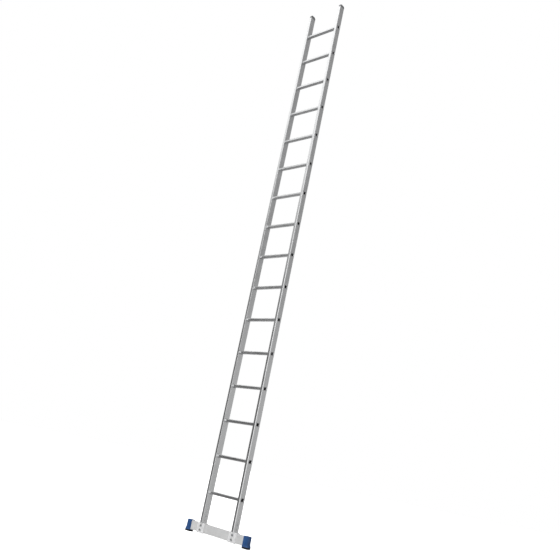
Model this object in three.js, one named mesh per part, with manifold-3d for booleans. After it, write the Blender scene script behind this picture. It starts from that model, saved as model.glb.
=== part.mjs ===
// A straight, single-section leaning ladder: two hollow box stiles, sixteen hollow rungs swaged
// into them, and a stabiliser beam across the foot that stands on two rubber-soled end feet.
//
// Frame, in millimetres: +Z runs up the ladder, +X is the climber's right, and -Y is the side that
// is climbed. The origin is on the ground, midway between the two soles.

import * as THREE from 'three';
import { mergeVertices } from 'three/addons/utils/BufferGeometryUtils.js';
import Module from 'manifold-3d';

const wasm = await Module();
wasm.setup();

// ---------------------------------------------------------------- driving dimensions

const GAP = 0.3; // left between any two pieces that touch
const CUT = 1; // how far a cutting tool runs past the face it opens
const SMALLEST_RADIUS = 0.5;

const RUNG_COUNT = 16;
const RUNG_PITCH = 280;
const FIRST_RUNG_Z = 316;
const LADDER_HEIGHT = 4758;
const LADDER_WIDTH = 370; // over the two stiles

const STILE = { width: 24, depth: 58, wall: 2, outerRadius: 8, innerRadius: 3 };
const RUNG = { depth: 30, height: 25, wall: 2, radius: 7 };
const COLLAR = { rise: 3, bead: 3.6, flare: 1.6 }; // swaged lips either side of a stile
const TOP_CAP = { height: 30, shoulderRadius: 18, plug: 30, wall: 2.5 };

const BEAM = { bottomZ: 16.5, height: 67, depth: 30, halfLength: 330, wall: 2, radius: 2.5 };
const FOOT = { innerX: 285, outerX: 334, flareX: 340, wall: 2.7, roof: 3.7, depthAtSole: 42 };
const FOOT_PROFILE = { bottomZ: 12, flareZ: 24, shoulderZ: 42, radius: 3 };
const SOLE = { margin: 0.6, radius: 6, grooves: 5, grooveWidth: 3, grooveDepth: 3 };

const SADDLE = { width: 80, plate: 3.5, bottomZ: 12, spigotHeight: 70, spigotWall: 3 };
const SADDLE_BOSS = { innerX: 13, outerX: 38, rise: 2.7, margin: 3 };
const BOLT = { radius: 4, acrossFlats: 13, headHeight: 5.3, tail: 1 };
const BOLT_Z = [34, 66];
const NUT_HEIGHT = 6.5;
const WASHER = { outerRadius: 8, height: 1.6 };
const SLEEVE_RADIUS = 6.5;
const RIVET = { radius: 3.2, bore: 1.6, headRadius: 6, headHeight: 1.8 };
const RIVET_Z = [108, 138];
const SCREW = { radius: 2, headRadius: 4.5, headHeight: 2.4, length: 9 };

// ---------------------------------------------------------------- places worked out from them

const STILE_X = (LADDER_WIDTH - STILE.width) / 2;
const BEAM_TOP_Z = BEAM.bottomZ + BEAM.height;
const BEAM_MID_Z = (BEAM.bottomZ + BEAM_TOP_Z) / 2;
const SADDLE_TOP_Z = BEAM_TOP_Z + GAP + SADDLE.plate;
const STILE_BOTTOM_Z = SADDLE_TOP_Z + GAP;
const STILE_TOP_Z = LADDER_HEIGHT - TOP_CAP.height - GAP;
const CHEEK_INNER_Y = BEAM.depth / 2 + GAP;
const CHEEK_OUTER_Y = CHEEK_INNER_Y + SADDLE.plate;
const WASHER_Y = CHEEK_OUTER_Y + GAP + WASHER.height / 2;
const BOLT_SEAT_Y = CHEEK_OUTER_Y + WASHER.height + 2 * GAP;
const FOOT_DEPTH = BEAM.depth + 2 * (GAP + FOOT.wall);
const SCREW_X = (FOOT.innerX + FOOT.outerX) / 2;

// ---------------------------------------------------------------- finishes

const finish = (color, roughness, metalness) =>
  new THREE.MeshStandardMaterial({ color, roughness, metalness });

const aluminium = finish(0xc4c5c7, 0.38, 1);
const castAluminium = finish(0xd0d1d3, 0.5, 1);
const zincSteel = finish(0xaeb2b6, 0.35, 1);
const bluePlastic = finish(0x1f4f96, 0.45, 0);
const blackRubber = finish(0x16181b, 0.8, 0);
const greyPlastic = finish(0x44474a, 0.6, 0);

// ---------------------------------------------------------------- solids and how they are placed

const X = new THREE.Vector3(1, 0, 0);
const Y = new THREE.Vector3(0, 1, 0);
const Z = new THREE.Vector3(0, 0, 1);

// Each turns a flat shape, drawn in its own x and y, and the direction it is extruded in.
const ALONG_Z = new THREE.Matrix4(); // drawn as (x, y)
const ALONG_X = new THREE.Matrix4().makeBasis(Y, Z, X); // drawn as (y, z)
const ALONG_Y = new THREE.Matrix4().makeBasis(X, Z, Y.clone().negate()); // drawn as (x, z)

function toSolid(geometry) {
  const bare = geometry.clone();
  bare.deleteAttribute('normal');
  bare.deleteAttribute('uv');
  const merged = mergeVertices(bare, 1e-4);
  const vertProperties = new Float32Array(merged.attributes.position.array);
  const triVerts = new Uint32Array(merged.index.array);
  return new wasm.Manifold(new wasm.Mesh({ numProp: 3, vertProperties, triVerts }));
}

function toGeometry(solid) {
  const { vertProperties, triVerts } = solid.getMesh();
  const geometry = new THREE.BufferGeometry();
  geometry.setAttribute('position', new THREE.BufferAttribute(vertProperties, 3));
  geometry.setIndex(new THREE.BufferAttribute(triVerts, 1));
  geometry.computeVertexNormals();
  return geometry;
}

// A shape extruded to a length, with the middle of that length at the centre given.
function prism(shape, length, direction, centre = [0, 0, 0]) {
  const settings = { depth: length, bevelEnabled: false, curveSegments: 1 };
  const geometry = new THREE.ExtrudeGeometry(shape, settings);
  geometry.translate(0, 0, -length / 2);
  geometry.applyMatrix4(direction);
  geometry.translate(...centre);
  return toSolid(geometry);
}

function box(width, depth, height, centre) {
  return toSolid(new THREE.BoxGeometry(width, depth, height).translate(...centre));
}

function roundBar(radius, length, direction, centre, sides = 12) {
  const geometry = new THREE.CylinderGeometry(radius, radius, length, sides);
  geometry.rotateX(Math.PI / 2);
  geometry.applyMatrix4(direction);
  geometry.translate(...centre);
  return toSolid(geometry);
}

function hexBar(acrossFlats, length, direction, centre) {
  return roundBar(acrossFlats / Math.sqrt(3), length, direction, centre, 6);
}

const join = (...solids) => solids.reduce((whole, piece) => whole.add(piece));
const cut = (whole, ...tools) => tools.reduce((rest, tool) => rest.subtract(tool), whole);

// A rectangle about the origin; its two corners on the -x side can have a radius of their own.
function roundedRect(width, height, radius, leftRadius = radius) {
  const shape = new THREE.Shape();
  const corner = (sideX, sideY, r, startAngle) => {
    const x = sideX * (width / 2 - r);
    const y = sideY * (height / 2 - r);
    shape.absarc(x, y, r, startAngle, startAngle + 0.5 * Math.PI);
  };
  corner(1, 1, radius, 0);
  corner(-1, 1, leftRadius, 0.5 * Math.PI);
  corner(-1, -1, leftRadius, Math.PI);
  corner(1, -1, radius, 1.5 * Math.PI);
  return shape;
}

function polygon(points) {
  return new THREE.Shape(points.map(([x, y]) => new THREE.Vector2(x, y)));
}

// The same geometry seen in a mirror across the ladder, with its faces still pointing out.
function mirrored(geometry) {
  const copy = geometry.clone().scale(-1, 1, 1);
  const index = copy.index;
  for (let i = 0; i < index.count; i += 3) {
    const first = index.getX(i);
    index.setX(i, index.getX(i + 1));
    index.setX(i + 1, first);
  }
  copy.computeVertexNormals();
  return copy;
}

// The pieces that have a hand are drawn for the right side, whose sign is +1.
const handed = (geometry, sign) => (sign > 0 ? geometry : mirrored(geometry));

// ---------------------------------------------------------------- the ladder

const rungHeights = Array.from({ length: RUNG_COUNT }, (_, i) => FIRST_RUNG_Z + i * RUNG_PITCH);

// The right stile's outline, or one set in from it all round. It is rounder on its +x side, the
// side away from the rungs.
function stileOutline(inset = 0) {
  return roundedRect(
    STILE.width - 2 * inset,
    STILE.depth - 2 * inset,
    STILE.outerRadius - inset,
    Math.max(STILE.innerRadius - inset, SMALLEST_RADIUS),
  );
}

// The shape that fills a stile's bore, or, with a wall given, the hollow inside that shape.
const boreFilling = (wall = 0) => stileOutline(STILE.wall + GAP + wall);

// Open-ended box tube, pierced through both side walls at each rung and at each rivet.
function stileGeometry() {
  const outside = stileOutline();
  outside.holes.push(stileOutline(STILE.wall));
  const length = STILE_TOP_Z - STILE_BOTTOM_Z;
  const tube = prism(outside, length, ALONG_Z, [0, 0, STILE_BOTTOM_Z + length / 2]);

  const rungHole = roundedRect(RUNG.depth + 2 * GAP, RUNG.height + 2 * GAP, RUNG.radius + GAP);
  const across = STILE.width + 2 * CUT;
  const rungHoles = rungHeights.map((z) => prism(rungHole, across, ALONG_X, [0, 0, z]));
  const rivetHoles = RIVET_Z.map((z) => roundBar(RIVET.radius + GAP, across, ALONG_X, [0, 0, z]));
  return toGeometry(cut(tube, ...rungHoles, ...rivetHoles));
}

// Hollow rung, beaded against the inner face of each stile and flared over its outer face.
function rungGeometry() {
  const outerFace = LADDER_WIDTH / 2 + GAP;
  const innerFace = LADDER_WIDTH / 2 - STILE.width - GAP;
  const lip = roundedRect(
    RUNG.depth + 2 * COLLAR.rise,
    RUNG.height + 2 * COLLAR.rise,
    RUNG.radius + COLLAR.rise,
  );
  const length = 2 * (outerFace + COLLAR.flare);
  const tube = prism(roundedRect(RUNG.depth, RUNG.height, RUNG.radius), length, ALONG_X);
  const lips = [-1, 1].flatMap((side) => [
    prism(lip, COLLAR.flare, ALONG_X, [side * (outerFace + COLLAR.flare / 2), 0, 0]),
    prism(lip, COLLAR.bead, ALONG_X, [side * (innerFace - COLLAR.bead / 2), 0, 0]),
  ]);
  const bore = roundedRect(
    RUNG.depth - 2 * RUNG.wall,
    RUNG.height - 2 * RUNG.wall,
    RUNG.radius - RUNG.wall,
  );
  return toGeometry(cut(join(tube, ...lips), prism(bore, length + 2 * CUT, ALONG_X)));
}

// Moulded end cap: a lid with round shoulders front and back, on a hollow plug inside the stile.
function topCapGeometry() {
  const { height, shoulderRadius } = TOP_CAP;
  const shoulder = (side) =>
    Array.from({ length: 5 }, (_, i) => {
      const angle = (i * Math.PI) / 8;
      const y = STILE.depth / 2 - shoulderRadius * (1 - Math.cos(angle));
      return [side * y, height - shoulderRadius * (1 - Math.sin(angle))];
    });
  const base = [[-STILE.depth / 2, 0], [STILE.depth / 2, 0]];
  const sideOutline = polygon([...base, ...shoulder(1), ...shoulder(-1).reverse()]);
  const lid = prism(sideOutline, STILE.width, ALONG_X).intersect(
    prism(stileOutline(), height, ALONG_Z, [0, 0, height / 2]),
  );
  const length = TOP_CAP.plug + CUT;
  const plug = prism(boreFilling(), length, ALONG_Z, [0, 0, CUT - length / 2]);
  const hollow = prism(boreFilling(TOP_CAP.wall), length, ALONG_Z, [0, 0, -CUT - length / 2]);
  return toGeometry(cut(join(lid, plug), hollow));
}

// Hollow rectangular beam, bored for the saddle bolts and for the screws that hold the feet.
function beamGeometry() {
  const outside = roundedRect(BEAM.depth, BEAM.height, BEAM.radius);
  const bore = roundedRect(
    BEAM.depth - 2 * BEAM.wall,
    BEAM.height - 2 * BEAM.wall,
    BEAM.radius / 2,
  );
  outside.holes.push(bore);
  const tube = prism(outside, 2 * BEAM.halfLength, ALONG_X, [0, 0, BEAM_MID_Z]);
  const sides = [-1, 1];
  const boltHoles = sides.flatMap((side) =>
    BOLT_Z.map((z) => {
      const centre = [side * STILE_X, 0, z];
      return roundBar(BOLT.radius + GAP, BEAM.depth + 2 * CUT, ALONG_Y, centre);
    }),
  );
  const screwHoles = sides.map((side) =>
    roundBar(SCREW.radius + GAP, BEAM.depth, ALONG_Y, [side * SCREW_X, BEAM.depth / 2, BEAM_MID_Z]),
  );
  return toGeometry(cut(tube, ...boltHoles, ...screwHoles));
}

// Cast saddle: a cheek down each face of the beam to a little below it, with a boss either side of
// the bolts, a seat for the stile's end, and a hollow spigot up into the stile.
function saddleGeometry() {
  const cheekHeight = SADDLE_TOP_Z - SADDLE.bottomZ;
  const cheekZ = SADDLE.bottomZ + cheekHeight / 2;
  const block = box(SADDLE.width, 2 * CHEEK_OUTER_Y, cheekHeight, [0, 0, cheekZ]);
  const { innerX, outerX, rise, margin } = SADDLE_BOSS;
  const bossDepth = 2 * (CHEEK_OUTER_Y + rise);
  const bosses = [-1, 1].map((side) => {
    const centre = [(side * (innerX + outerX)) / 2, 0, cheekZ];
    return box(outerX - innerX, bossDepth, cheekHeight - 2 * margin, centre);
  });
  const seatCentre = [0, 0, SADDLE_TOP_Z - SADDLE.plate / 2];
  const seat = prism(stileOutline(), SADDLE.plate, ALONG_Z, seatCentre);
  const length = SADDLE.spigotHeight + CUT;
  const spigotCentre = [0, 0, SADDLE_TOP_Z - CUT + length / 2];
  const spigot = prism(boreFilling(), length, ALONG_Z, spigotCentre);
  const coreCentre = [0, 0, SADDLE_TOP_Z + CUT + length / 2];
  const core = prism(boreFilling(SADDLE.spigotWall), length, ALONG_Z, coreCentre);
  const beamSlot = box(
    SADDLE.width + 2 * CUT,
    2 * CHEEK_INNER_Y,
    cheekHeight,
    [0, 0, BEAM_TOP_Z + GAP - cheekHeight / 2],
  );
  const boltHoles = BOLT_Z.map((z) =>
    roundBar(BOLT.radius + GAP, STILE.depth, ALONG_Y, [0, 0, z]),
  );
  const rivetHoles = RIVET_Z.map((z) =>
    roundBar(RIVET.radius + GAP, STILE.width, ALONG_X, [0, 0, z]),
  );
  const casting = join(block, ...bosses, seat, spigot);
  return toGeometry(cut(casting, core, beamSlot, ...boltHoles, ...rivetHoles));
}

// Moulded end foot: a deep socket over the end of the beam, flared at the bottom to the sole.
function footShellGeometry() {
  const topZ = BEAM_TOP_Z + GAP + FOOT.roof;
  const { bottomZ, flareZ, shoulderZ, radius } = FOOT_PROFILE;
  const sideOutline = polygon([
    [FOOT.innerX, bottomZ],
    [FOOT.flareX, bottomZ],
    [FOOT.flareX - 1, flareZ],
    [FOOT.outerX, shoulderZ],
    [FOOT.outerX, topZ - radius],
    [FOOT.outerX - radius, topZ],
    [FOOT.innerX, topZ],
  ]);
  const endOutline = polygon([
    [-FOOT.depthAtSole / 2, bottomZ],
    [FOOT.depthAtSole / 2, bottomZ],
    [FOOT.depthAtSole / 2, bottomZ + 2],
    [FOOT_DEPTH / 2, flareZ],
    [FOOT_DEPTH / 2, topZ - radius],
    [FOOT_DEPTH / 2 - radius, topZ],
    [radius - FOOT_DEPTH / 2, topZ],
    [-FOOT_DEPTH / 2, topZ - radius],
    [-FOOT_DEPTH / 2, flareZ],
    [-FOOT.depthAtSole / 2, bottomZ + 2],
  ]);
  const long = 2 * FOOT.flareX;
  const side = prism(sideOutline, STILE.depth, ALONG_Y);
  const body = side.intersect(prism(endOutline, 2 * long, ALONG_X));
  const socketEnd = BEAM.halfLength + GAP;
  const socket = box(
    socketEnd - FOOT.innerX + CUT,
    BEAM.depth + 2 * GAP,
    BEAM.height + 2 * GAP,
    [(socketEnd + FOOT.innerX - CUT) / 2, 0, BEAM_MID_Z],
  );
  const screwHole = roundBar(
    SCREW.radius + GAP,
    FOOT_DEPTH,
    ALONG_Y,
    [SCREW_X, FOOT_DEPTH / 2, BEAM_MID_Z],
  );
  return toGeometry(cut(body, socket, screwHole));
}

// Rubber sole under the foot, with tread grooves across it.
function soleGeometry() {
  const height = FOOT_PROFILE.bottomZ - GAP;
  const length = FOOT.flareX - FOOT.innerX;
  const outline = roundedRect(length, FOOT.depthAtSole + 2 * SOLE.margin, SOLE.radius);
  const middleX = FOOT.innerX + length / 2;
  const pad = prism(outline, height, ALONG_Z, [middleX, 0, height / 2]);
  const step = length / (SOLE.grooves + 1);
  const grooves = Array.from({ length: SOLE.grooves }, (_, i) =>
    box(
      SOLE.grooveWidth,
      STILE.depth,
      2 * SOLE.grooveDepth,
      [FOOT.innerX + step * (i + 1), 0, 0],
    ),
  );
  return toGeometry(cut(pad, ...grooves));
}

// The fasteners are drawn about their own axis at the origin, heads towards the climbing side.
function boltGeometry() {
  const tailY = BOLT_SEAT_Y + NUT_HEIGHT + BOLT.tail;
  const headY = -BOLT_SEAT_Y - BOLT.headHeight / 2;
  const shankLength = tailY + BOLT_SEAT_Y + BOLT.headHeight / 2;
  const shank = roundBar(BOLT.radius, shankLength, ALONG_Y, [0, tailY - shankLength / 2, 0]);
  const head = hexBar(BOLT.acrossFlats, BOLT.headHeight, ALONG_Y, [0, headY, 0]);
  return toGeometry(join(head, shank));
}

function ringGeometry(outer) {
  const bore = roundBar(BOLT.radius + GAP, BEAM.depth * 2, ALONG_Y, [0, 0, 0]);
  return toGeometry(cut(outer, bore));
}

const nutGeometry = () => ringGeometry(hexBar(BOLT.acrossFlats, NUT_HEIGHT, ALONG_Y, [0, 0, 0]));
const washerGeometry = () =>
  ringGeometry(roundBar(WASHER.outerRadius, WASHER.height, ALONG_Y, [0, 0, 0], 16));
const sleeveGeometry = () => {
  const length = BEAM.depth - 2 * (BEAM.wall + GAP);
  return ringGeometry(roundBar(SLEEVE_RADIUS, length, ALONG_Y, [0, 0, 0]));
};

// Tubular rivet right through the stile and the spigot inside it.
function rivetGeometry() {
  const grip = STILE.width + 2 * GAP;
  const length = grip + 2 * RIVET.headHeight;
  const shank = roundBar(RIVET.radius, length, ALONG_X, [0, 0, 0]);
  const heads = [-1, 1].map((side) => {
    const x = (side * (grip + RIVET.headHeight)) / 2;
    return roundBar(RIVET.headRadius, RIVET.headHeight, ALONG_X, [x, 0, 0]);
  });
  const bore = roundBar(RIVET.bore, length + 2 * CUT, ALONG_X, [0, 0, 0], 8);
  return toGeometry(cut(join(shank, ...heads), bore));
}

// Pan-head screw that holds a foot to the back face of the beam.
function footScrewGeometry() {
  const length = SCREW.length + SCREW.headHeight;
  const head = roundBar(SCREW.headRadius, SCREW.headHeight, ALONG_Y, [0, SCREW.headHeight / 2, 0]);
  const shank = roundBar(SCREW.radius, length, ALONG_Y, [0, SCREW.headHeight - length / 2, 0]);
  return toGeometry(join(head, shank));
}

// ---------------------------------------------------------------- assembly

const ladder = new THREE.Group();

function place(parent, name, geometry, material, position = [0, 0, 0]) {
  const mesh = new THREE.Mesh(geometry, material);
  mesh.name = name;
  mesh.position.set(...position);
  parent.add(mesh);
}

const shared = {
  stile: stileGeometry(),
  rung: rungGeometry(),
  topCap: topCapGeometry(),
  saddle: saddleGeometry(),
  foot: footShellGeometry(),
  sole: soleGeometry(),
  bolt: boltGeometry(),
  nut: nutGeometry(),
  washer: washerGeometry(),
  sleeve: sleeveGeometry(),
  rivet: rivetGeometry(),
  screw: footScrewGeometry(),
};

function addBoltSet(stileGroup, side, z, level) {
  const label = `${side}_saddle`;
  const { bolt, washer, nut, sleeve } = shared;
  const nutY = BOLT_SEAT_Y + NUT_HEIGHT / 2;
  place(stileGroup, `${label}_bolt_${level}`, bolt, zincSteel, [0, 0, z]);
  place(stileGroup, `${label}_front_washer_${level}`, washer, zincSteel, [0, -WASHER_Y, z]);
  place(stileGroup, `${label}_back_washer_${level}`, washer, zincSteel, [0, WASHER_Y, z]);
  place(stileGroup, `${label}_nut_${level}`, nut, zincSteel, [0, nutY, z]);
  place(stileGroup, `${label}_spacer_sleeve_${level}`, sleeve, zincSteel, [0, 0, z]);
}

// One stile with its cap, saddle and fasteners, in a group that stands on the stile's own axis.
function addStileGroup(side, sign) {
  const group = new THREE.Group();
  group.position.x = sign * STILE_X;
  ladder.add(group);
  const levels = ['lower', 'upper'];
  const capSeat = [0, 0, STILE_TOP_Z + GAP];
  place(group, `${side}_stile`, handed(shared.stile, sign), aluminium);
  place(group, `${side}_top_cap`, handed(shared.topCap, sign), greyPlastic, capSeat);
  place(group, `${side}_saddle`, handed(shared.saddle, sign), castAluminium);
  levels.forEach((level, i) => {
    addBoltSet(group, side, BOLT_Z[i], level);
    place(group, `${side}_saddle_rivet_${level}`, shared.rivet, zincSteel, [0, 0, RIVET_Z[i]]);
  });
}

function addFoot(side, sign) {
  const screwSeat = [sign * SCREW_X, FOOT_DEPTH / 2 + GAP, BEAM_MID_Z];
  place(ladder, `${side}_foot_shell`, handed(shared.foot, sign), bluePlastic);
  place(ladder, `${side}_foot_sole`, handed(shared.sole, sign), blackRubber);
  place(ladder, `${side}_foot_screw`, shared.screw, zincSteel, screwSeat);
}

addStileGroup('left', -1);
addStileGroup('right', 1);
rungHeights.forEach((z, i) => {
  const number = String(i + 1).padStart(2, '0');
  place(ladder, `rung_${number}`, shared.rung, aluminium, [0, 0, z]);
});
place(ladder, 'stabiliser_beam', beamGeometry(), aluminium);
addFoot('left', -1);
addFoot('right', 1);

export default ladder;
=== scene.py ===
from math import cos, pi, radians, sin

import bmesh
import bpy
from mathutils import Matrix, Quaternion, Vector


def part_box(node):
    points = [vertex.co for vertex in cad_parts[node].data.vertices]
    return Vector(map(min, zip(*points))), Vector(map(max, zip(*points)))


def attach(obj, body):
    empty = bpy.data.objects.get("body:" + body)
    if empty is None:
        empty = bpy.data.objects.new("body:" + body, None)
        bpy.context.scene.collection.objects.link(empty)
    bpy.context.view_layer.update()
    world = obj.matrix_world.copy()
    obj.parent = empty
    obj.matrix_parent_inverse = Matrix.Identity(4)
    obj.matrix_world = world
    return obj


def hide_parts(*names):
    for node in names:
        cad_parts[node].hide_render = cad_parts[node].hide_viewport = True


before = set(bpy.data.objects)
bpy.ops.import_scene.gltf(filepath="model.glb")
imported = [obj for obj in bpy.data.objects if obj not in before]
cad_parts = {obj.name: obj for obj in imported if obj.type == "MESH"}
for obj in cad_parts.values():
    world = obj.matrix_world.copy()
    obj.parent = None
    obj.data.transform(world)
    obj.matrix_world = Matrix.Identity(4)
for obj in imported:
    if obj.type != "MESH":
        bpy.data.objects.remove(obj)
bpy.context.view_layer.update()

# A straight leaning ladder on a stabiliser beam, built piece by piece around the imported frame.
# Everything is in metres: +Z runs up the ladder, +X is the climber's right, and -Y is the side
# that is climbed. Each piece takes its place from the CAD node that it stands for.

# ---------------------------------------------------------------- sizes that the boxes don't give

# The gap between neighbouring pieces, how far a tool overlaps what it cuts or joins, and the
# least radius that a block's corners keep.
GAP = 0.0003
CUT = 0.002
LEAST_RADIUS = 0.0001

STILE_WALL = 0.002
STILE_OUTER_RADIUS = 0.008
STILE_INNER_RADIUS = 0.003
STILE_LINE = {"offset": 0.0196, "width": 0.0007, "depth": 0.0003}

RUNG_DEPTH = 0.030
RUNG_HEIGHT = 0.025
RUNG_RADIUS = 0.007
RUNG_WALL = 0.002
RUNG_GROOVE = {"count": 6, "pitch": 0.0026, "width": 0.0010, "depth": 0.0005}
LIP_RISE = 0.003
BEAD_LENGTH = 0.0056
BEAD_EDGE = 0.0015
FLARE_THICKNESS = 0.0016
MOUTH_LENGTH = 0.0044

CAP_PLUG_WALL = 0.0025
CAP_ROOF = 0.0027
CAP_SHOULDER = 0.018

BEAM_WALL = 0.002
BEAM_RADIUS = 0.0025
BEAM_LINE = {"offset": 0.021, "width": 0.0008, "depth": 0.0004}

SADDLE_PLATE = 0.0035
SADDLE_BOTTOM = 0.012
SADDLE_CORNER = 0.004
BOSS = {"inner": 0.013, "outer": 0.038, "rise": 0.0027, "margin": 0.003, "rim": 0.0045}
SPIGOT_WALL = 0.003
CAST_EDGE = 0.0012

BOLT_RADIUS = 0.004
BOLT_DISH_RADIUS = 0.00496
HEX = {"across_flats": 0.013, "face_radius": 0.0062, "chamfer": 0.00075, "past_corners": 0.0078}
THREAD = {"pitch": 0.00125, "depth": 0.0004, "length": 0.009}
NUT_COLLAR_SHARE = 0.2
WASHER_EDGE = 0.00025
SLEEVE_EDGE = 0.0004
RIVET = {"shank": 0.0032, "bore": 0.0016, "rim": 0.0004}

# The screw's flat and recess are shares of its head's radius.
SCREW = {
    "shank": 0.002,
    "tip": 0.0005,
    "slot": 0.0009,
    "slot_depth": 0.0013,
    "flat": 0.45,
    "recess": 0.55,
}

# A foot flares to both sides over its lowest part and kicks outwards over a taller one, and
# FOOT_LEVEL spaces the outlines that follow both curves.
FOOT_EDGE = 0.003
FOOT_CORNER = 0.0039
FOOT_INNER_CORNER = 0.0015
FOOT_FLARE = {"out": 0.0027, "top": 0.012}
FOOT_KICK = {"out": 0.006, "top": 0.03}
FOOT_LEVEL = {"pitch": 0.0015, "count": 21}

# The sole's side grooves are at these shares of its height.
SOLE_RADIUS = 0.006
SOLE_SIDE_GROOVES = (0.4, 0.66)
SOLE_GROOVE = {"count": 5, "width": 0.003, "depth": 0.003}

CORNER_STEPS = 8
EASE_STEPS = 4
DOME_STEPS = 6
RIM_STEPS = 5
ROUND_STEPS = 48
SHARP_ANGLE = radians(32)


# ---------------------------------------------------------------- flat outlines

def quarter(steps, first=0):
    """Angles in equal steps up to a right angle."""
    return [i / steps * pi / 2 for i in range(first, steps + 1)]


def outline(width, height, radius, left_radius=None, dents=None):
    """Points anticlockwise round a rectangle about the origin whose corners are rounded.

    dents has lists of (place along the side, depth pushed in) for top, left, bottom and right.
    """
    left_radius = radius if left_radius is None else left_radius
    corners = ((1, 1, radius), (-1, 1, left_radius), (-1, -1, left_radius), (1, -1, radius))
    points = []
    for turn, (side_x, side_y, r) in enumerate(corners):
        x, y = side_x * (width / 2 - r), side_y * (height / 2 - r)
        for angle in quarter(CORNER_STEPS):
            turned_by = turn * pi / 2 + angle
            points.append((x + r * cos(turned_by), y + r * sin(turned_by)))
        name = ("top", "left", "bottom", "right")[turn]
        listed = (dents or {}).get(name, [])
        for along, depth in (reversed(listed) if turn < 2 else listed):
            points.append({
                "top": (along, height / 2 - depth),
                "left": (depth - width / 2, along),
                "bottom": (along, depth - height / 2),
                "right": (width / 2 - depth, along),
            }[name])
    return points


def grooves(centres, width, depth):
    """Dents for a row of grooves whose floors are half as wide as their mouths."""
    dents = []
    for centre in centres:
        dents += [
            (centre - width / 2, 0),
            (centre - width / 4, depth),
            (centre + width / 4, depth),
            (centre + width / 2, 0),
        ]
    return dents


def moved(points, x, y):
    return [(u + x, v + y) for u, v in points]


def circle(radius, hexagon=None):
    """Points on a circle, or where it is nearer, on a hexagon with that distance across flats."""
    points = []
    for step in range(ROUND_STEPS):
        angle = 2 * pi * step / ROUND_STEPS
        r = radius
        if hexagon:
            r = min(r, hexagon / 2 / cos(angle % (pi / 3) - pi / 6))
        points.append((r * cos(angle), r * sin(angle)))
    return points


def eased(low, high, radius, high_radius=None):
    """(height, inset) up a bar from low to high whose two ends are rounded."""
    high_radius = radius if high_radius is None else high_radius
    steps = []
    for angle in quarter(EASE_STEPS):
        steps.append((low + radius * (1 - cos(angle)), radius * (1 - sin(angle))))
    for angle in reversed(quarter(EASE_STEPS)):
        steps.append((high - high_radius * (1 - cos(angle)), high_radius * (1 - sin(angle))))
    return steps


# ---------------------------------------------------------------- meshes

# How a flat outline's (u, v) and a distance along become a point, for each extrusion direction.
ALONG = {
    "X": lambda u, v, distance: (distance, u, v),
    "Y": lambda u, v, distance: (u, distance, v),
    "Z": lambda u, v, distance: (u, v, distance),
}


def skin(levels, axis, loop=False):
    """A closed mesh over (outline, distance) levels that all have equally many points.

    With loop the last level joins the first; without it those two are filled in.
    """
    shell = bmesh.new()
    rings = [[shell.verts.new(ALONG[axis](u, v, d)) for u, v in points] for points, d in levels]
    following = rings[1:] + rings[:1] if loop else rings[1:]
    for ring, after in zip(rings, following):
        for i in range(len(ring)):
            j = (i + 1) % len(ring)
            shell.faces.new((ring[i], ring[j], after[j], after[i]))
    if not loop:
        shell.faces.new(rings[0])
        shell.faces.new(rings[-1])
    bmesh.ops.recalc_face_normals(shell, faces=shell.faces)
    mesh = bpy.data.meshes.new("mesh")
    shell.to_mesh(mesh)
    shell.free()
    return mesh


def block(low, high, ease=0.0, radius=0.0):
    """A box between two corners, its upright edges rounded by radius and the others by ease."""
    width, depth = high[0] - low[0], high[1] - low[1]
    x, y = (low[0] + high[0]) / 2, (low[1] + high[1]) / 2
    heights = eased(low[2], high[2], ease) if ease else [(low[2], 0), (high[2], 0)]
    corner = max(radius, ease, GAP)
    levels = []
    for height, inset in heights:
        rounding = max(corner - inset, LEAST_RADIUS)
        ring = outline(width - 2 * inset, depth - 2 * inset, rounding)
        levels.append((moved(ring, x, y), height))
    return skin(levels, "Z")


def turned(profile, axis, loop=False, hexagon=None):
    """A turned piece about the origin from (radius, distance along the axis) points."""
    return skin([(circle(r, hexagon), d) for r, d in profile], axis, loop)


def rod(radius, length, axis, centre):
    """A plain round cutting tool."""
    mesh = turned([(radius, -length / 2), (radius, length / 2)], axis)
    mesh.transform(Matrix.Translation(centre))
    return mesh


def merged(meshes):
    """Several separate closed meshes as one."""
    whole = bmesh.new()
    for mesh in meshes:
        whole.from_mesh(mesh)
    result = bpy.data.meshes.new("mesh")
    whole.to_mesh(result)
    whole.free()
    return result


def combined(mesh, tool, operation="DIFFERENCE"):
    """The mesh with a closed tool cut away from it, or joined to it by a UNION."""
    base = bpy.data.objects.new("base", mesh)
    other = bpy.data.objects.new("tool", tool)
    for item in (base, other):
        bpy.context.scene.collection.objects.link(item)
    boolean = base.modifiers.new("combine", "BOOLEAN")
    boolean.operation = operation
    boolean.solver = "EXACT"
    boolean.object = other
    evaluated = base.evaluated_get(bpy.context.evaluated_depsgraph_get())
    result = bpy.data.meshes.new_from_object(evaluated)
    for item in (base, other):
        bpy.data.objects.remove(item)
    return result


def at(mesh, x, y, z):
    """A copy of the mesh, moved from the origin to a place."""
    copy = mesh.copy()
    copy.transform(Matrix.Translation((x, y, z)))
    return copy


def handed(mesh, side):
    """The right-hand mesh itself, or its mirror image across the ladder for the left."""
    if side == "right":
        return mesh
    copy = mesh.copy()
    copy.transform(Matrix.Scale(-1, 4, (1, 0, 0)))
    copy.flip_normals()
    return copy


# ---------------------------------------------------------------- shader nodes

def node(tree, kind, inputs=None, out=0, **settings):
    """Adds a shader node, fed by values or by other nodes' outputs, and returns an output."""
    made = tree.nodes.new("ShaderNode" + kind)
    for name, value in settings.items():
        setattr(made, name, value)
    for name, value in (inputs or {}).items():
        if isinstance(value, bpy.types.NodeSocket):
            tree.links.new(value, made.inputs[name])
        else:
            made.inputs[name].default_value = value
    return made.outputs[out]


def noise(tree, place, scale, detail, roughness=0.5, distortion=0.0):
    inputs = {"Vector": place, "Scale": scale, "Detail": detail, "Roughness": roughness}
    return node(tree, "TexNoise", {**inputs, "Distortion": distortion})


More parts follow.
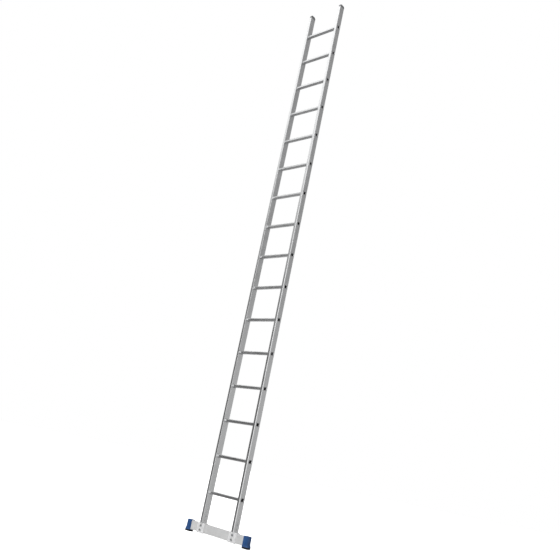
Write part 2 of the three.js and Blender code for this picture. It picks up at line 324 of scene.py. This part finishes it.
def spread(tree, value, low, high, to_low=0.0, to_high=1.0):
    """The value, stretched so that low to high covers to_low to to_high."""
    ends = {"From Min": low, "From Max": high, "To Min": to_low, "To Max": to_high}
    return node(tree, "MapRange", {"Value": value, **ends})


def blend(tree, first, second, share):
    """Mixes two colours, whose sockets on a Mix node follow those for numbers and vectors."""
    return node(tree, "Mix", {0: share, 6: first, 7: second}, out=2, data_type="RGBA")


def maths(tree, operation, first, second):
    return node(tree, "Math", {0: first, 1: second}, operation=operation)


def coordinates(tree, stretch=(1.0, 1.0, 1.0)):
    place = node(tree, "TexCoord", out="Object")
    return node(tree, "Mapping", {"Vector": place, "Scale": stretch})


def new_tree(name):
    material = bpy.data.materials.new(name)
    material.use_nodes = True
    return material.node_tree


def surface(name, colour, roughness, height, constants, bump):
    """Ends a material: height is the bump's texture, and bump is its depth in metres."""
    tree = bpy.data.materials[name].node_tree
    shader = tree.nodes["Principled BSDF"]
    normal = node(tree, "Bump", {"Height": height, "Strength": 1.0, "Distance": bump})
    for socket, output in (("Base Color", colour), ("Roughness", roughness), ("Normal", normal)):
        tree.links.new(output, shader.inputs[socket])
    for socket, value in constants.items():
        shader.inputs[socket].default_value = value
    return bpy.data.materials[name]


# ---------------------------------------------------------------- materials

# Stretches a texture into streaks along an extrusion, and the grey of its handling marks.
STREAK = {"X": (0.012, 1.0, 1.0), "Z": (1.0, 1.0, 0.012)}
HANDLED = (0.42, 0.42, 0.42, 1.0)


def extruded_aluminium(name, axis, dark, light, smooth, rough, metallic=1.0):
    """Mill-finish extrusion: fine die lines along it, wider bands, and dull handling marks."""
    tree = new_tree(name)
    along = coordinates(tree, STREAK[axis])
    everywhere = coordinates(tree)
    lines = noise(tree, along, scale=900.0, detail=3.0, roughness=0.6)
    bands = noise(tree, along, scale=130.0, detail=2.0)
    clouds = noise(tree, everywhere, scale=11.0, detail=4.0, roughness=0.6, distortion=0.4)
    specks = noise(tree, everywhere, scale=420.0, detail=2.0, roughness=0.6)
    fine = maths(tree, "MULTIPLY", lines, 0.4)
    broad = maths(tree, "MULTIPLY", bands, 0.6)
    tone = maths(tree, "ADD", maths(tree, "ADD", fine, broad), clouds)
    colour = blend(tree, dark, light, spread(tree, tone, 0.72, 1.28))
    marks = maths(tree, "MULTIPLY", spread(tree, specks, 0.66, 0.74), 0.35)
    colour = blend(tree, colour, HANDLED, marks)
    roughness = spread(tree, clouds, 0.3, 0.7, smooth, rough)
    roughness = maths(tree, "ADD", roughness, spread(tree, lines, 0.3, 0.7, -0.04, 0.04))
    return surface(name, colour, roughness, lines, {"Metallic": metallic}, bump=0.00006)


def cast_aluminium(name, dark, light):
    """Tumbled casting: a fine even grain, darker where it was less polished."""
    tree = new_tree(name)
    place = coordinates(tree)
    grain = noise(tree, place, scale=1400.0, detail=3.0, roughness=0.6)
    clouds = noise(tree, place, scale=45.0, detail=4.0, roughness=0.6)
    colour = blend(tree, dark, light, spread(tree, clouds, 0.3, 0.7))
    roughness = spread(tree, clouds, 0.3, 0.7, 0.42, 0.56)
    return surface(name, colour, roughness, grain, {"Metallic": 0.3}, bump=0.00012)


def zinc_steel(name, bluish, yellowish):
    """Bright zinc plate with a faint bluish and yellowish cast in patches."""
    tree = new_tree(name)
    place = coordinates(tree)
    patches = noise(tree, place, scale=160.0, detail=3.0)
    grain = noise(tree, place, scale=2200.0, detail=2.0)
    colour = blend(tree, bluish, yellowish, spread(tree, patches, 0.35, 0.65))
    roughness = spread(tree, patches, 0.3, 0.7, 0.26, 0.4)
    return surface(name, colour, roughness, grain, {"Metallic": 1.0}, bump=0.00003)


def moulded_plastic(name, deep, pale, dust, smooth, rough, dust_top):
    """Spark-eroded mould grain, a little colour drift, and dust and scuffs towards the ground."""
    tree = new_tree(name)
    place = coordinates(tree)
    grain = noise(tree, place, scale=1700.0, detail=3.0, roughness=0.6)
    drift = noise(tree, place, scale=28.0, detail=3.0)
    scuffs = noise(tree, place, scale=190.0, detail=5.0, roughness=0.7, distortion=0.8)
    height = node(tree, "SeparateXYZ", {"Vector": place}, out="Z")
    low_down = spread(tree, height, dust_top, 0.0)
    worn = maths(tree, "MULTIPLY", spread(tree, scuffs, 0.56, 0.7), low_down)
    colour = blend(tree, deep, pale, spread(tree, drift, 0.3, 0.7))
    colour = blend(tree, colour, dust, maths(tree, "MULTIPLY", worn, 0.5))
    roughness = spread(tree, maths(tree, "ADD", drift, worn), 0.3, 1.2, smooth, rough)
    return surface(name, colour, roughness, grain, {"Specular IOR Level": 0.5}, bump=0.00008)


def black_rubber(name, clean, dusty):
    """Matt rubber with a bloom of dust in its pores."""
    tree = new_tree(name)
    place = coordinates(tree)
    pores = noise(tree, place, scale=1100.0, detail=4.0, roughness=0.7)
    bloom = noise(tree, place, scale=60.0, detail=4.0, roughness=0.6)
    colour = blend(tree, clean, dusty, spread(tree, bloom, 0.35, 0.7))
    roughness = spread(tree, bloom, 0.3, 0.7, 0.7, 0.88)
    return surface(name, colour, roughness, pores, {"Specular IOR Level": 0.35}, bump=0.00016)


STILE_FINISH = extruded_aluminium(
    "stile_aluminium",
    "Z",
    dark=(0.66, 0.665, 0.67, 1.0),
    light=(0.83, 0.835, 0.84, 1.0),
    smooth=0.24,
    rough=0.34,
)
RUNG_FINISH = extruded_aluminium(
    "rung_aluminium",
    "X",
    dark=(0.62, 0.625, 0.63, 1.0),
    light=(0.8, 0.805, 0.81, 1.0),
    smooth=0.26,
    rough=0.38,
)
BEAM_FINISH = extruded_aluminium(
    "beam_aluminium",
    "X",
    dark=(0.61, 0.61, 0.61, 1.0),
    light=(0.72, 0.72, 0.72, 1.0),
    smooth=0.42,
    rough=0.55,
    metallic=0.3,
)
CAST_FINISH = cast_aluminium(
    "saddle_casting",
    dark=(0.76, 0.76, 0.765, 1.0),
    light=(0.87, 0.87, 0.875, 1.0),
)
ZINC_FINISH = zinc_steel(
    "zinc_plate",
    bluish=(0.56, 0.6, 0.66, 1.0),
    yellowish=(0.68, 0.665, 0.6, 1.0),
)
BLUE_FINISH = moulded_plastic(
    "foot_plastic",
    deep=(0.01, 0.053, 0.17, 1.0),
    pale=(0.018, 0.078, 0.23, 1.0),
    dust=(0.3, 0.33, 0.36, 1.0),
    smooth=0.36,
    rough=0.6,
    dust_top=0.04,
)
GREY_FINISH = moulded_plastic(
    "cap_plastic",
    deep=(0.15, 0.153, 0.157, 1.0),
    pale=(0.2, 0.203, 0.208, 1.0),
    dust=(0.3, 0.3, 0.3, 1.0),
    smooth=0.3,
    rough=0.42,
    dust_top=0.04,
)
RUBBER_FINISH = black_rubber(
    "sole_rubber",
    clean=(0.008, 0.009, 0.011, 1.0),
    dusty=(0.03, 0.03, 0.031, 1.0),
)


# ---------------------------------------------------------------- putting pieces in the scene

def show(cad_node, mesh, finish):
    """Puts a mesh in the scene as the piece that stands for a CAD node."""
    mesh.materials.clear()
    mesh.materials.append(finish)
    mesh.shade_smooth()
    mesh.set_sharp_from_angle(angle=SHARP_ANGLE)
    name = f"{cad_node}_look"
    mesh.name = name
    piece = bpy.data.objects.new(name, mesh)
    bpy.context.scene.collection.objects.link(piece)
    piece.modifiers.new("even shading", "WEIGHTED_NORMAL").keep_sharp = True
    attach(piece, "root")
    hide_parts(cad_node)


def middle(cad_node):
    low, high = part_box(cad_node)
    return (low + high) / 2


def size(cad_node):
    low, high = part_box(cad_node)
    return high - low


# ---------------------------------------------------------------- stiles and their caps

STILE_LOW, STILE_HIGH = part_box("right_stile")
STILE_X = (STILE_LOW.x + STILE_HIGH.x) / 2
STILE_WIDTH = STILE_HIGH.x - STILE_LOW.x
STILE_DEPTH = STILE_HIGH.y - STILE_LOW.y
RUNGS = sorted(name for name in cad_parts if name.startswith("rung_"))
LEVELS = ("lower", "upper")


def stile_outline(inset, dents=None):
    """The right stile's outline, set in all round; rounder on the side away from the rungs."""
    return outline(
        STILE_WIDTH - 2 * inset,
        STILE_DEPTH - 2 * inset,
        STILE_OUTER_RADIUS - inset,
        max(STILE_INNER_RADIUS - inset, GAP),
        dents,
    )


def stile():
    """A hollow tube with two die lines on each broad side, pierced for rungs and rivets."""
    centres = (-STILE_LINE["offset"], STILE_LINE["offset"])
    lines = grooves(centres, STILE_LINE["width"], STILE_LINE["depth"])
    plain = grooves(centres, STILE_LINE["width"], 0)
    outside = stile_outline(0, {"left": lines, "right": lines})
    bore = stile_outline(STILE_WALL, {"left": plain, "right": plain})
    low, high = STILE_LOW.z, STILE_HIGH.z
    tube = skin([(outside, low), (outside, high), (bore, high), (bore, low)], "Z", loop=True)
    hole = outline(RUNG_DEPTH + 2 * GAP, RUNG_HEIGHT + 2 * GAP, RUNG_RADIUS + GAP)
    reach = STILE_WIDTH / 2 + CUT
    tools = []
    for name in RUNGS:
        shape = moved(hole, 0, middle(name).z)
        tools.append(skin([(shape, -reach), (shape, reach)], "X"))
    for level in LEVELS:
        height = middle(f"right_saddle_rivet_{level}").z
        tools.append(rod(RIVET["shank"] + GAP, 2 * reach, "X", (0, 0, height)))
    return at(combined(tube, merged(tools)), STILE_X, 0, 0)


def cap_side(inset, bottom, top):
    """The lid seen along X: square at the bottom and round at both shoulders, set in all round."""
    half, radius = STILE_DEPTH / 2 - inset, CAP_SHOULDER - inset
    shoulder = []
    for angle in quarter(CORNER_STEPS):
        across = half - radius * (1 - cos(angle))
        shoulder.append((across, top - inset - radius * (1 - sin(angle))))
    far_shoulder = [(-across, height) for across, height in reversed(shoulder)]
    return [(-half, bottom), (half, bottom)] + shoulder + far_shoulder


def top_cap():
    """A moulded lid with round shoulders, on a hollow plug that goes down inside the stile."""
    low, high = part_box("right_top_cap")
    seat = STILE_HIGH.z + GAP
    half = STILE_WIDTH / 2
    across = eased(-half, half, STILE_INNER_RADIUS, STILE_OUTER_RADIUS)
    lid = skin([(cap_side(inset, seat, high.z), x) for x, inset in across], "X")
    plug = STILE_WALL + GAP
    chamfer = 2 * GAP
    path = [
        (seat - CAP_ROOF, plug + CAP_PLUG_WALL),
        (low.z, plug + CAP_PLUG_WALL),
        (low.z, plug + chamfer),
        (low.z + chamfer, plug),
        (seat + CUT, plug),
    ]
    stem = skin([(stile_outline(inset), height) for height, inset in path], "Z")
    return at(combined(lid, stem, "UNION"), STILE_X, 0, 0)


# ---------------------------------------------------------------- rungs

def rung_outline(grow, groove_depth):
    """The rung's outline, grown all round, with grooves along its top and bottom."""
    pitch, count = RUNG_GROOVE["pitch"], RUNG_GROOVE["count"]
    centres = [(i - (count - 1) / 2) * pitch for i in range(count)]
    ribs = grooves(centres, RUNG_GROOVE["width"], groove_depth)
    return outline(
        RUNG_DEPTH + 2 * grow,
        RUNG_HEIGHT + 2 * grow,
        RUNG_RADIUS + grow,
        dents={"top": ribs, "bottom": ribs},
    )


def collar_path(face):
    """Out along the swaged collar, which swells slowly and drops away at the stile's face."""
    depth = RUNG_GROOVE["depth"]
    path = []
    for i in range(DOME_STEPS + 1):
        share = i / DOME_STEPS
        rise = LIP_RISE * (1 - cos(pi * share)) / 2
        path.append((face - BEAD_LENGTH + (BEAD_LENGTH - BEAD_EDGE) * share, rise, depth))
    for angle in quarter(EASE_STEPS, first=1):
        fall = LIP_RISE - BEAD_EDGE * (1 - cos(angle))
        path.append((face - BEAD_EDGE * (1 - sin(angle)), fall, depth))
    return path + [(face, 0, depth)]


def rim_path(face):
    """Round the flared rim outside the stile and down into the rung's smooth mouth."""
    half = FLARE_THICKNESS / 2
    path = [(face, 0, RUNG_GROOVE["depth"])]
    for angle in quarter(RIM_STEPS):
        rise = LIP_RISE - half * (1 - sin(2 * angle))
        path.append((face + half * (1 - cos(2 * angle)), rise, 0))
    rim = LIP_RISE - half
    for angle in reversed(quarter(DOME_STEPS)[:-1]):
        x = face + FLARE_THICKNESS - MOUTH_LENGTH * (1 - sin(angle))
        path.append((x, rim - (rim + RUNG_WALL) * cos(angle), 0))
    return path


def rung():
    """A grooved tube from (distance from the middle, growth, groove depth) points."""
    half = collar_path(STILE_LOW.x - GAP) + rim_path(STILE_HIGH.x + GAP)
    path = half + [(-x, grow, depth) for x, grow, depth in reversed(half)]
    return skin([(rung_outline(grow, depth), x) for x, grow, depth in path], "X", loop=True)


# ---------------------------------------------------------------- stabiliser beam

BEAM_LOW, BEAM_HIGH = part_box("stabiliser_beam")
BEAM_DEPTH = BEAM_HIGH.y - BEAM_LOW.y
BEAM_Z = (BEAM_LOW.z + BEAM_HIGH.z) / 2


def beam():
    """A hollow tube with two die lines on each broad side, drilled for bolts and screws."""
    depth, height = BEAM_DEPTH, BEAM_HIGH.z - BEAM_LOW.z
    centres = (-BEAM_LINE["offset"], BEAM_LINE["offset"])
    lines = grooves(centres, BEAM_LINE["width"], BEAM_LINE["depth"])
    plain = grooves(centres, BEAM_LINE["width"], 0)
    outside = outline(depth, height, BEAM_RADIUS, dents={"left": lines, "right": lines})
    bore = outline(
        depth - 2 * BEAM_WALL,
        height - 2 * BEAM_WALL,
        BEAM_RADIUS / 2,
        dents={"left": plain, "right": plain},
    )
    outside, bore = moved(outside, 0, BEAM_Z), moved(bore, 0, BEAM_Z)
    low, high = BEAM_LOW.x, BEAM_HIGH.x
    tube = skin([(outside, low), (outside, high), (bore, high), (bore, low)], "X", loop=True)
    tools = []
    for side in ("left", "right"):
        for level in LEVELS:
            place = middle(f"{side}_saddle_bolt_{level}")
            tools.append(rod(BOLT_RADIUS + GAP, depth + CUT, "Y", (place.x, 0, place.z)))
        screw = middle(f"{side}_foot_screw")
        tools.append(rod(SCREW["shank"] + GAP, depth, "Y", (screw.x, depth / 2, screw.z)))
    return combined(tube, merged(tools))


# ---------------------------------------------------------------- saddles

SADDLE_HALF = size("right_saddle").x / 2
SADDLE_TOP = STILE_LOW.z - GAP
SADDLE_SLOT = BEAM_DEPTH / 2 + GAP
SADDLE_CHEEK = SADDLE_SLOT + SADDLE_PLATE
SADDLE_FACE = SADDLE_CHEEK + BOSS["rise"]


def saddle_body():
    """The box round the beam, with two upright bosses on each cheek and the stile's seat."""
    casting = block(
        (-SADDLE_HALF, -SADDLE_CHEEK, SADDLE_BOTTOM),
        (SADDLE_HALF, SADDLE_CHEEK, SADDLE_TOP),
        CAST_EDGE,
        SADDLE_CORNER,
    )
    bottom, top = SADDLE_BOTTOM + BOSS["margin"], SADDLE_TOP - BOSS["margin"]
    for side in (-1, 1):
        x = sorted((side * BOSS["inner"], side * BOSS["outer"]))
        boss = block(
            (x[0], -SADDLE_FACE, bottom),
            (x[1], SADDLE_FACE, top),
            CAST_EDGE,
            CAST_EDGE,
        )
        casting = combined(casting, boss, "UNION")
    heights = eased(SADDLE_TOP - SADDLE_PLATE, SADDLE_TOP, CAST_EDGE)
    seat = skin([(stile_outline(inset), z) for z, inset in heights], "Z")
    return combined(casting, seat, "UNION")


def with_spigot(casting):
    """Adds the hollow spigot that stands up inside the stile."""
    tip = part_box("right_saddle")[1].z
    fill = STILE_WALL + GAP
    heights = eased(SADDLE_TOP - CUT, tip, GAP, CAST_EDGE)
    spigot = skin([(stile_outline(fill + inset), z) for z, inset in heights], "Z")
    core = stile_outline(fill + SPIGOT_WALL)
    hollow = skin([(core, SADDLE_TOP + GAP), (core, tip + CUT)], "Z")
    return combined(combined(casting, spigot, "UNION"), hollow)


def boss_hollows():
    """Tools that sink each boss's middle to half its rise, which leaves a frame round it."""
    inset = BOSS["margin"] + BOSS["rim"]
    width = BOSS["outer"] - BOSS["inner"] - 2 * BOSS["rim"]
    hollow = outline(width, SADDLE_TOP - SADDLE_BOTTOM - 2 * inset, BOSS["rim"])
    floor, beyond = SADDLE_FACE - BOSS["rise"] / 2, SADDLE_FACE + CUT
    tools = []
    for side in (-1, 1):
        place = side * (BOSS["inner"] + BOSS["outer"]) / 2
        shape = moved(hollow, place, (SADDLE_BOTTOM + SADDLE_TOP) / 2)
        for outward in (-1, 1):
            tools.append(skin([(shape, outward * floor), (shape, outward * beyond)], "Y"))
    return tools


def saddle():
    """The casting that joins a stile to the beam: cheeks, framed bosses, seat and spigot."""
    casting = with_spigot(saddle_body())
    reach = SADDLE_HALF + CUT
    beam_slot = block(
        (-reach, -SADDLE_SLOT, SADDLE_BOTTOM - CUT),
        (reach, SADDLE_SLOT, BEAM_HIGH.z + GAP),
    )
    casting = combined(casting, beam_slot)
    tools = boss_hollows()
    for level in LEVELS:
        bolt_z = middle(f"right_saddle_bolt_{level}").z
        rivet_z = middle(f"right_saddle_rivet_{level}").z
        tools.append(rod(BOLT_RADIUS + GAP, STILE_DEPTH, "Y", (0, 0, bolt_z)))
        tools.append(rod(RIVET["shank"] + GAP, STILE_WIDTH, "X", (0, 0, rivet_z)))
    return at(combined(casting, merged(tools)), STILE_X, 0, 0)


# ---------------------------------------------------------------- fasteners, each about the origin

def hexagon_edges(low, high):
    """A hexagon's sides between two heights, chamfered to a round face at both ends."""
    return [
        (HEX["face_radius"], low),
        (HEX["past_corners"], low + HEX["chamfer"]),
        (HEX["past_corners"], high - HEX["chamfer"]),
        (HEX["face_radius"], high),
    ]


def bolt():
    """Hexagon-headed bolt along Y, its head towards the climbing side and threaded at its tail."""
    low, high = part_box("right_saddle_bolt_lower")
    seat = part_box("right_saddle_front_washer_lower")[0].y - GAP
    root = BOLT_RADIUS - THREAD["depth"]
    profile = [(BOLT_DISH_RADIUS, low.y + GAP)]
    profile += hexagon_edges(low.y, seat)
    profile.append((BOLT_RADIUS, seat))
    turns = int(THREAD["length"] / THREAD["pitch"])
    for turn in range(turns):
        start = high.y - (turns - turn) * THREAD["pitch"]
        profile.append((BOLT_RADIUS, start))
        profile.append((root, start + THREAD["pitch"] / 2))
    profile.append((root, high.y - GAP))
    profile.append((root - THREAD["depth"], high.y))
    return turned(profile, "Y", hexagon=HEX["across_flats"])


def nut():
    """Lock nut along Y: a hexagon with a low round collar on its outer side."""
    length = size("right_saddle_nut_lower").y
    low, high = -length / 2, length / 2
    hexagon_top = high - length * NUT_COLLAR_SHARE
    bore = BOLT_RADIUS + GAP
    collar = HEX["face_radius"] - GAP
    chamfer = 2 * GAP
    profile = hexagon_edges(low, hexagon_top)
    profile += [(collar, hexagon_top), (collar, high - chamfer), (collar - chamfer, high)]
    profile += [(bore + chamfer, high), (bore, high - chamfer)]
    profile += [(bore, low + chamfer), (bore + chamfer, low)]
    return turned(profile, "Y", loop=True, hexagon=HEX["across_flats"])


def bolt_ring(cad_node, edge):
    """A washer or a sleeve along Y that fits a bolt, its outer edges eased."""
    box = size(cad_node)
    half, outer, bore = box.y / 2, box.x / 2, BOLT_RADIUS + GAP
    profile = [(bore, half), (bore, -half), (outer - edge, -half), (outer, edge - half)]
    profile += [(outer, half - edge), (outer - edge, half)]
    return turned(profile, "Y", loop=True)


def rivet():
    """Tubular rivet along X with a low dome at each end."""
    box = size("right_saddle_rivet_lower")
    half, head = box.x / 2, box.z / 2
    seat = STILE_WIDTH / 2 + GAP
    rise = half - seat - RIVET["rim"]
    crown = RIVET["bore"] + 2 * RIVET["rim"]
    path = [(RIVET["shank"], seat), (head, seat)]
    for angle in quarter(DOME_STEPS):
        radius = crown + (head - crown) * cos(angle)
        path.append((radius, seat + RIVET["rim"] + rise * sin(angle)))
    path.append((RIVET["bore"], half - 2 * RIVET["rim"]))
    whole = path + [(r, -x) for r, x in reversed(path)]
    return turned(whole, "X", loop=True)


def foot_screw_seat():
    """Where a foot screw's head sits, which is GAP behind the foot's upper part."""
    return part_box("right_foot_shell")[1].y - (FOOT_FLARE["out"] - GAP)


def foot_screw():
    """Pan-head screw along Y with a cross recess, its head's underside at the origin."""
    low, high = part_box("right_foot_screw")
    head = (high.x - low.x) / 2
    rise, length = high.y - foot_screw_seat(), foot_screw_seat() - low.y
    shank, flat = SCREW["shank"], SCREW["flat"]
    profile = [(SCREW["tip"], -length), (shank, shank - length)]
    profile += [(shank, 0), (head, 0), (head, GAP)]
    for angle in quarter(DOME_STEPS, first=1):
        radius = head * (flat + (1 - flat) * cos(angle))
        profile.append((radius, GAP + (rise - GAP) * sin(angle)))
    slot, reach = SCREW["slot"] / 2, head * SCREW["recess"]
    bottom, top = rise - SCREW["slot_depth"], rise + CUT
    across = block((-reach, bottom, -slot), (reach, top, slot))
    upright = block((-slot, bottom, -reach), (slot, top, reach))
    return combined(combined(turned(profile, "Y"), across), upright)


# ---------------------------------------------------------------- feet

FOOT_LOW, FOOT_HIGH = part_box("right_foot_shell")


def drawn_in(curve, height):
    """How far a foot's side is drawn in at a height: nothing at the sole, all above the curve."""
    low = FOOT_LOW.z + FOOT_LEVEL["pitch"]
    share = min(max((height - low) / (FOOT_LOW.z + curve["top"] - low), 0), 1)
    return curve["out"] * share * share * (3 - 2 * share)


def foot_shell():
    """A deep socket over the beam's end that flares towards the sole, with rounded edges."""
    heights = eased(FOOT_LOW.z, FOOT_HIGH.z, 2 * GAP, FOOT_EDGE)
    for i in range(FOOT_LEVEL["count"]):
        heights.append((FOOT_LOW.z + FOOT_LEVEL["pitch"] * (i + 1), 0))
    levels = []
    for height, inset in sorted(heights):
        depth = 2 * (FOOT_HIGH.y - drawn_in(FOOT_FLARE, height) - inset)
        start, end = FOOT_LOW.x + inset, FOOT_HIGH.x - drawn_in(FOOT_KICK, height) - inset
        shape = outline(end - start, depth, FOOT_CORNER - inset / 2, FOOT_INNER_CORNER)
        levels.append((moved(shape, (start + end) / 2, 0), height))
    slot = BEAM_DEPTH / 2 + GAP
    socket = block(
        (FOOT_LOW.x - CUT, -slot, BEAM_LOW.z - GAP),
        (BEAM_HIGH.x + GAP, slot, BEAM_HIGH.z + GAP),
    )
    screw = middle("right_foot_screw")
    hole = rod(SCREW["shank"] + GAP, 2 * slot, "Y", (screw.x, 2 * slot, screw.z))
    return combined(combined(skin(levels, "Z"), socket), hole)


def foot_sole():
    """Rubber sole with two fine grooves round its side and deeper ones across its tread."""
    low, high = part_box("right_foot_sole")
    width, depth = high.x - low.x, high.y - low.y
    centre_x = (low.x + high.x) / 2
    heights = eased(low.z, high.z, 3 * GAP, 2 * GAP)
    for share in SOLE_SIDE_GROOVES:
        z = low.z + share * (high.z - low.z)
        heights += [(z - 2 * GAP, 0), (z - GAP, 2 * GAP), (z + GAP, 2 * GAP), (z + 2 * GAP, 0)]
    levels = []
    for height, inset in sorted(heights):
        shape = outline(width - 2 * inset, depth - 2 * inset, SOLE_RADIUS - inset)
        levels.append((moved(shape, centre_x, 0), height))
    pitch = width / (SOLE_GROOVE["count"] + 1)
    half = SOLE_GROOVE["width"] / 2
    tools = []
    for i in range(SOLE_GROOVE["count"]):
        x = low.x + pitch * (i + 1)
        tools.append(block((x - half, -depth, -CUT), (x + half, depth, SOLE_GROOVE["depth"])))
    return combined(skin(levels, "Z"), merged(tools))


# ---------------------------------------------------------------- assembly

def add_stiles():
    """Both stiles, with the caps, saddles and feet at their ends."""
    parts = (
        ("stile", stile(), STILE_FINISH, "aluminium"),
        ("top_cap", top_cap(), GREY_FINISH, "grey_plastic"),
        ("saddle", saddle(), CAST_FINISH, "cast_aluminium"),
        ("foot_shell", foot_shell(), BLUE_FINISH, "blue_plastic"),
        ("foot_sole", foot_sole(), RUBBER_FINISH, "black_rubber"),
    )
    for name, mesh, finish, slot in parts:
        for side in ("left", "right"):
            show(f"{side}_{name}", handed(mesh, side), finish)


def add_fasteners():
    """The bolts, rivets and screws, with all that goes on the bolts."""
    kinds = {
        "bolt": bolt(),
        "front_washer": bolt_ring("right_saddle_front_washer_lower", WASHER_EDGE),
        "back_washer": bolt_ring("right_saddle_back_washer_lower", WASHER_EDGE),
        "nut": nut(),
        "spacer_sleeve": bolt_ring("right_saddle_spacer_sleeve_lower", SLEEVE_EDGE),
        "rivet": rivet(),
    }
    screw, seat = foot_screw(), foot_screw_seat()
    for side in ("left", "right"):
        for level in LEVELS:
            for kind, mesh in kinds.items():
                cad_node = f"{side}_saddle_{kind}_{level}"
                place = middle(cad_node)
                y = 0 if kind == "bolt" else place.y
                show(cad_node, at(mesh, place.x, y, place.z), ZINC_FINISH)
        cad_node = f"{side}_foot_screw"
        place = middle(cad_node)
        show(cad_node, at(screw, place.x, seat, place.z), ZINC_FINISH)


def add_rungs():
    mesh = rung()
    for name in RUNGS:
        show(name, at(mesh, 0, 0, middle(name).z), RUNG_FINISH)


add_stiles()
add_fasteners()
add_rungs()
show("stabiliser_beam", beam(), BEAM_FINISH)


# ---------------------------------------------------------------- studio

# Soft boxes round the studio: compass angle from +X, elevation, the angles within which each is
# full and beyond which it is dark, and its brightness. The last is a black flag that takes light
# away. The object sees them; the camera doesn't.
SOFT_BOXES = (
    (225, 54, 24, 37, 1.06),
    (45, -8, 14, 25, 0.3),
    (45, 45, 20, 55, 0.16),
    (315, 8, 14, 34, 1.3),
    (274, 44, 20, 38, 0.7),
    (135, 22, 28, 62, 0.72),
    (0, -12, 18, 38, 0.35),
    (222, -27, 6, 24, 0.13),
    (0, -90, 25, 48, 0.3),
    (230, 0, 6, 19, -0.09),
)
STUDIO_AMBIENT = 0.2
BACKDROP_SEEN = 1.0

# The floor glows far more for the camera than for the object, so that it looks evenly pale.
FLOOR_SEEN = 0.85
FLOOR_GLOW = 0.05
FLOOR_HALF = 60
FLOOR_SQUARES = 8
FLOOR_ROUGHNESS = 0.9
WHITE = (1.0, 1.0, 1.0, 1.0)

# A large soft lamp behind the camera's left shoulder that the metal doesn't mirror.
SOFT_LAMP = {"compass": 235, "elevation": 30, "distance": 14.0, "size": 9.0, "watts": 700.0}


def direction(compass, elevation):
    """The unit vector towards a compass angle from +X and an elevation, both in degrees."""
    compass, elevation = radians(compass), radians(elevation)
    return (cos(elevation) * cos(compass), cos(elevation) * sin(compass), sin(elevation))


def make_world():
    """Light from the soft boxes and all round, behind a white backdrop for the camera."""
    world = bpy.data.worlds.new("studio")
    bpy.context.scene.world = world
    world.use_nodes = True
    tree = world.node_tree
    looking = node(tree, "TexCoord", out="Generated")
    light = STUDIO_AMBIENT
    for compass, elevation, inner, outer, strength in SOFT_BOXES:
        sides = {0: looking, 1: direction(compass, elevation)}
        nearness = node(tree, "VectorMath", sides, out="Value", operation="DOT_PRODUCT")
        fade = {"From Min": cos(radians(outer)), "From Max": cos(radians(inner))}
        fade.update({"Value": nearness, "To Max": strength})
        glow = node(tree, "MapRange", fade, interpolation_type="SMOOTHSTEP")
        light = maths(tree, "ADD", glow, light)
    from_camera = node(tree, "LightPath")
    level = node(tree, "Mix", {0: from_camera, 2: light, 3: BACKDROP_SEEN}, data_type="FLOAT")
    background = tree.nodes["Background"].inputs
    tree.links.new(level, background["Strength"])
    background["Color"].default_value = WHITE


def make_floor():
    """A wide pale floor that the metal doesn't mirror."""
    tree = new_tree("studio_floor")
    shader = tree.nodes["Principled BSDF"]
    tone = noise(tree, coordinates(tree), scale=3.0, detail=2.0)
    colour = blend(tree, (0.8, 0.8, 0.8, 1.0), (0.84, 0.84, 0.84, 1.0), tone)
    from_camera = node(tree, "LightPath")
    glow = spread(tree, from_camera, 0.0, 1.0, FLOOR_GLOW, FLOOR_SEEN)
    tree.links.new(colour, shader.inputs["Base Color"])
    tree.links.new(glow, shader.inputs["Emission Strength"])
    shader.inputs["Roughness"].default_value = FLOOR_ROUGHNESS
    shader.inputs["Emission Color"].default_value = WHITE
    plane = bmesh.new()
    squares = {"x_segments": FLOOR_SQUARES, "y_segments": FLOOR_SQUARES}
    bmesh.ops.create_grid(plane, size=FLOOR_HALF, **squares)
    mesh = bpy.data.meshes.new("studio_floor")
    plane.to_mesh(mesh)
    plane.free()
    mesh.materials.append(bpy.data.materials["studio_floor"])
    floor = bpy.data.objects.new("studio_floor", mesh)
    bpy.context.scene.collection.objects.link(floor)
    floor.visible_glossy = False


def make_lamp():
    data = bpy.data.lights.new("soft_lamp", "AREA")
    data.shape = "DISK"
    data.size = SOFT_LAMP["size"]
    data.energy = SOFT_LAMP["watts"]
    lamp = bpy.data.objects.new("soft_lamp", data)
    bpy.context.scene.collection.objects.link(lamp)
    toward = Vector(direction(SOFT_LAMP["compass"], SOFT_LAMP["elevation"]))
    lamp.location = toward * SOFT_LAMP["distance"]
    lamp.rotation_mode = "QUATERNION"
    lamp.rotation_quaternion = toward.to_track_quat("Z", "Y")
    lamp.visible_glossy = False
    lamp.visible_camera = False


CAMERA_PLACE = Vector((3.7454, -3.7862, 0.5634))
CAMERA_AIM = Vector((0.1055, 0.0, 2.0585))
CAMERA_ROLL = radians(11.652)
CAMERA_LENS = 42.645
CAMERA_SENSOR = 36


def make_camera():
    camera = bpy.data.objects.new("camera", bpy.data.cameras.new("camera"))
    bpy.context.scene.collection.objects.link(camera)
    level = (CAMERA_AIM - CAMERA_PLACE).to_track_quat("-Z", "Y")
    camera.rotation_mode = "QUATERNION"
    camera.rotation_quaternion = level @ Quaternion((0, 0, 1), CAMERA_ROLL)
    camera.location = CAMERA_PLACE
    camera.data.lens = CAMERA_LENS
    camera.data.sensor_width = CAMERA_SENSOR
    bpy.context.scene.camera = camera


make_world()
make_floor()
make_lamp()
make_camera()
bpy.context.scene.view_settings.view_transform = "Standard"
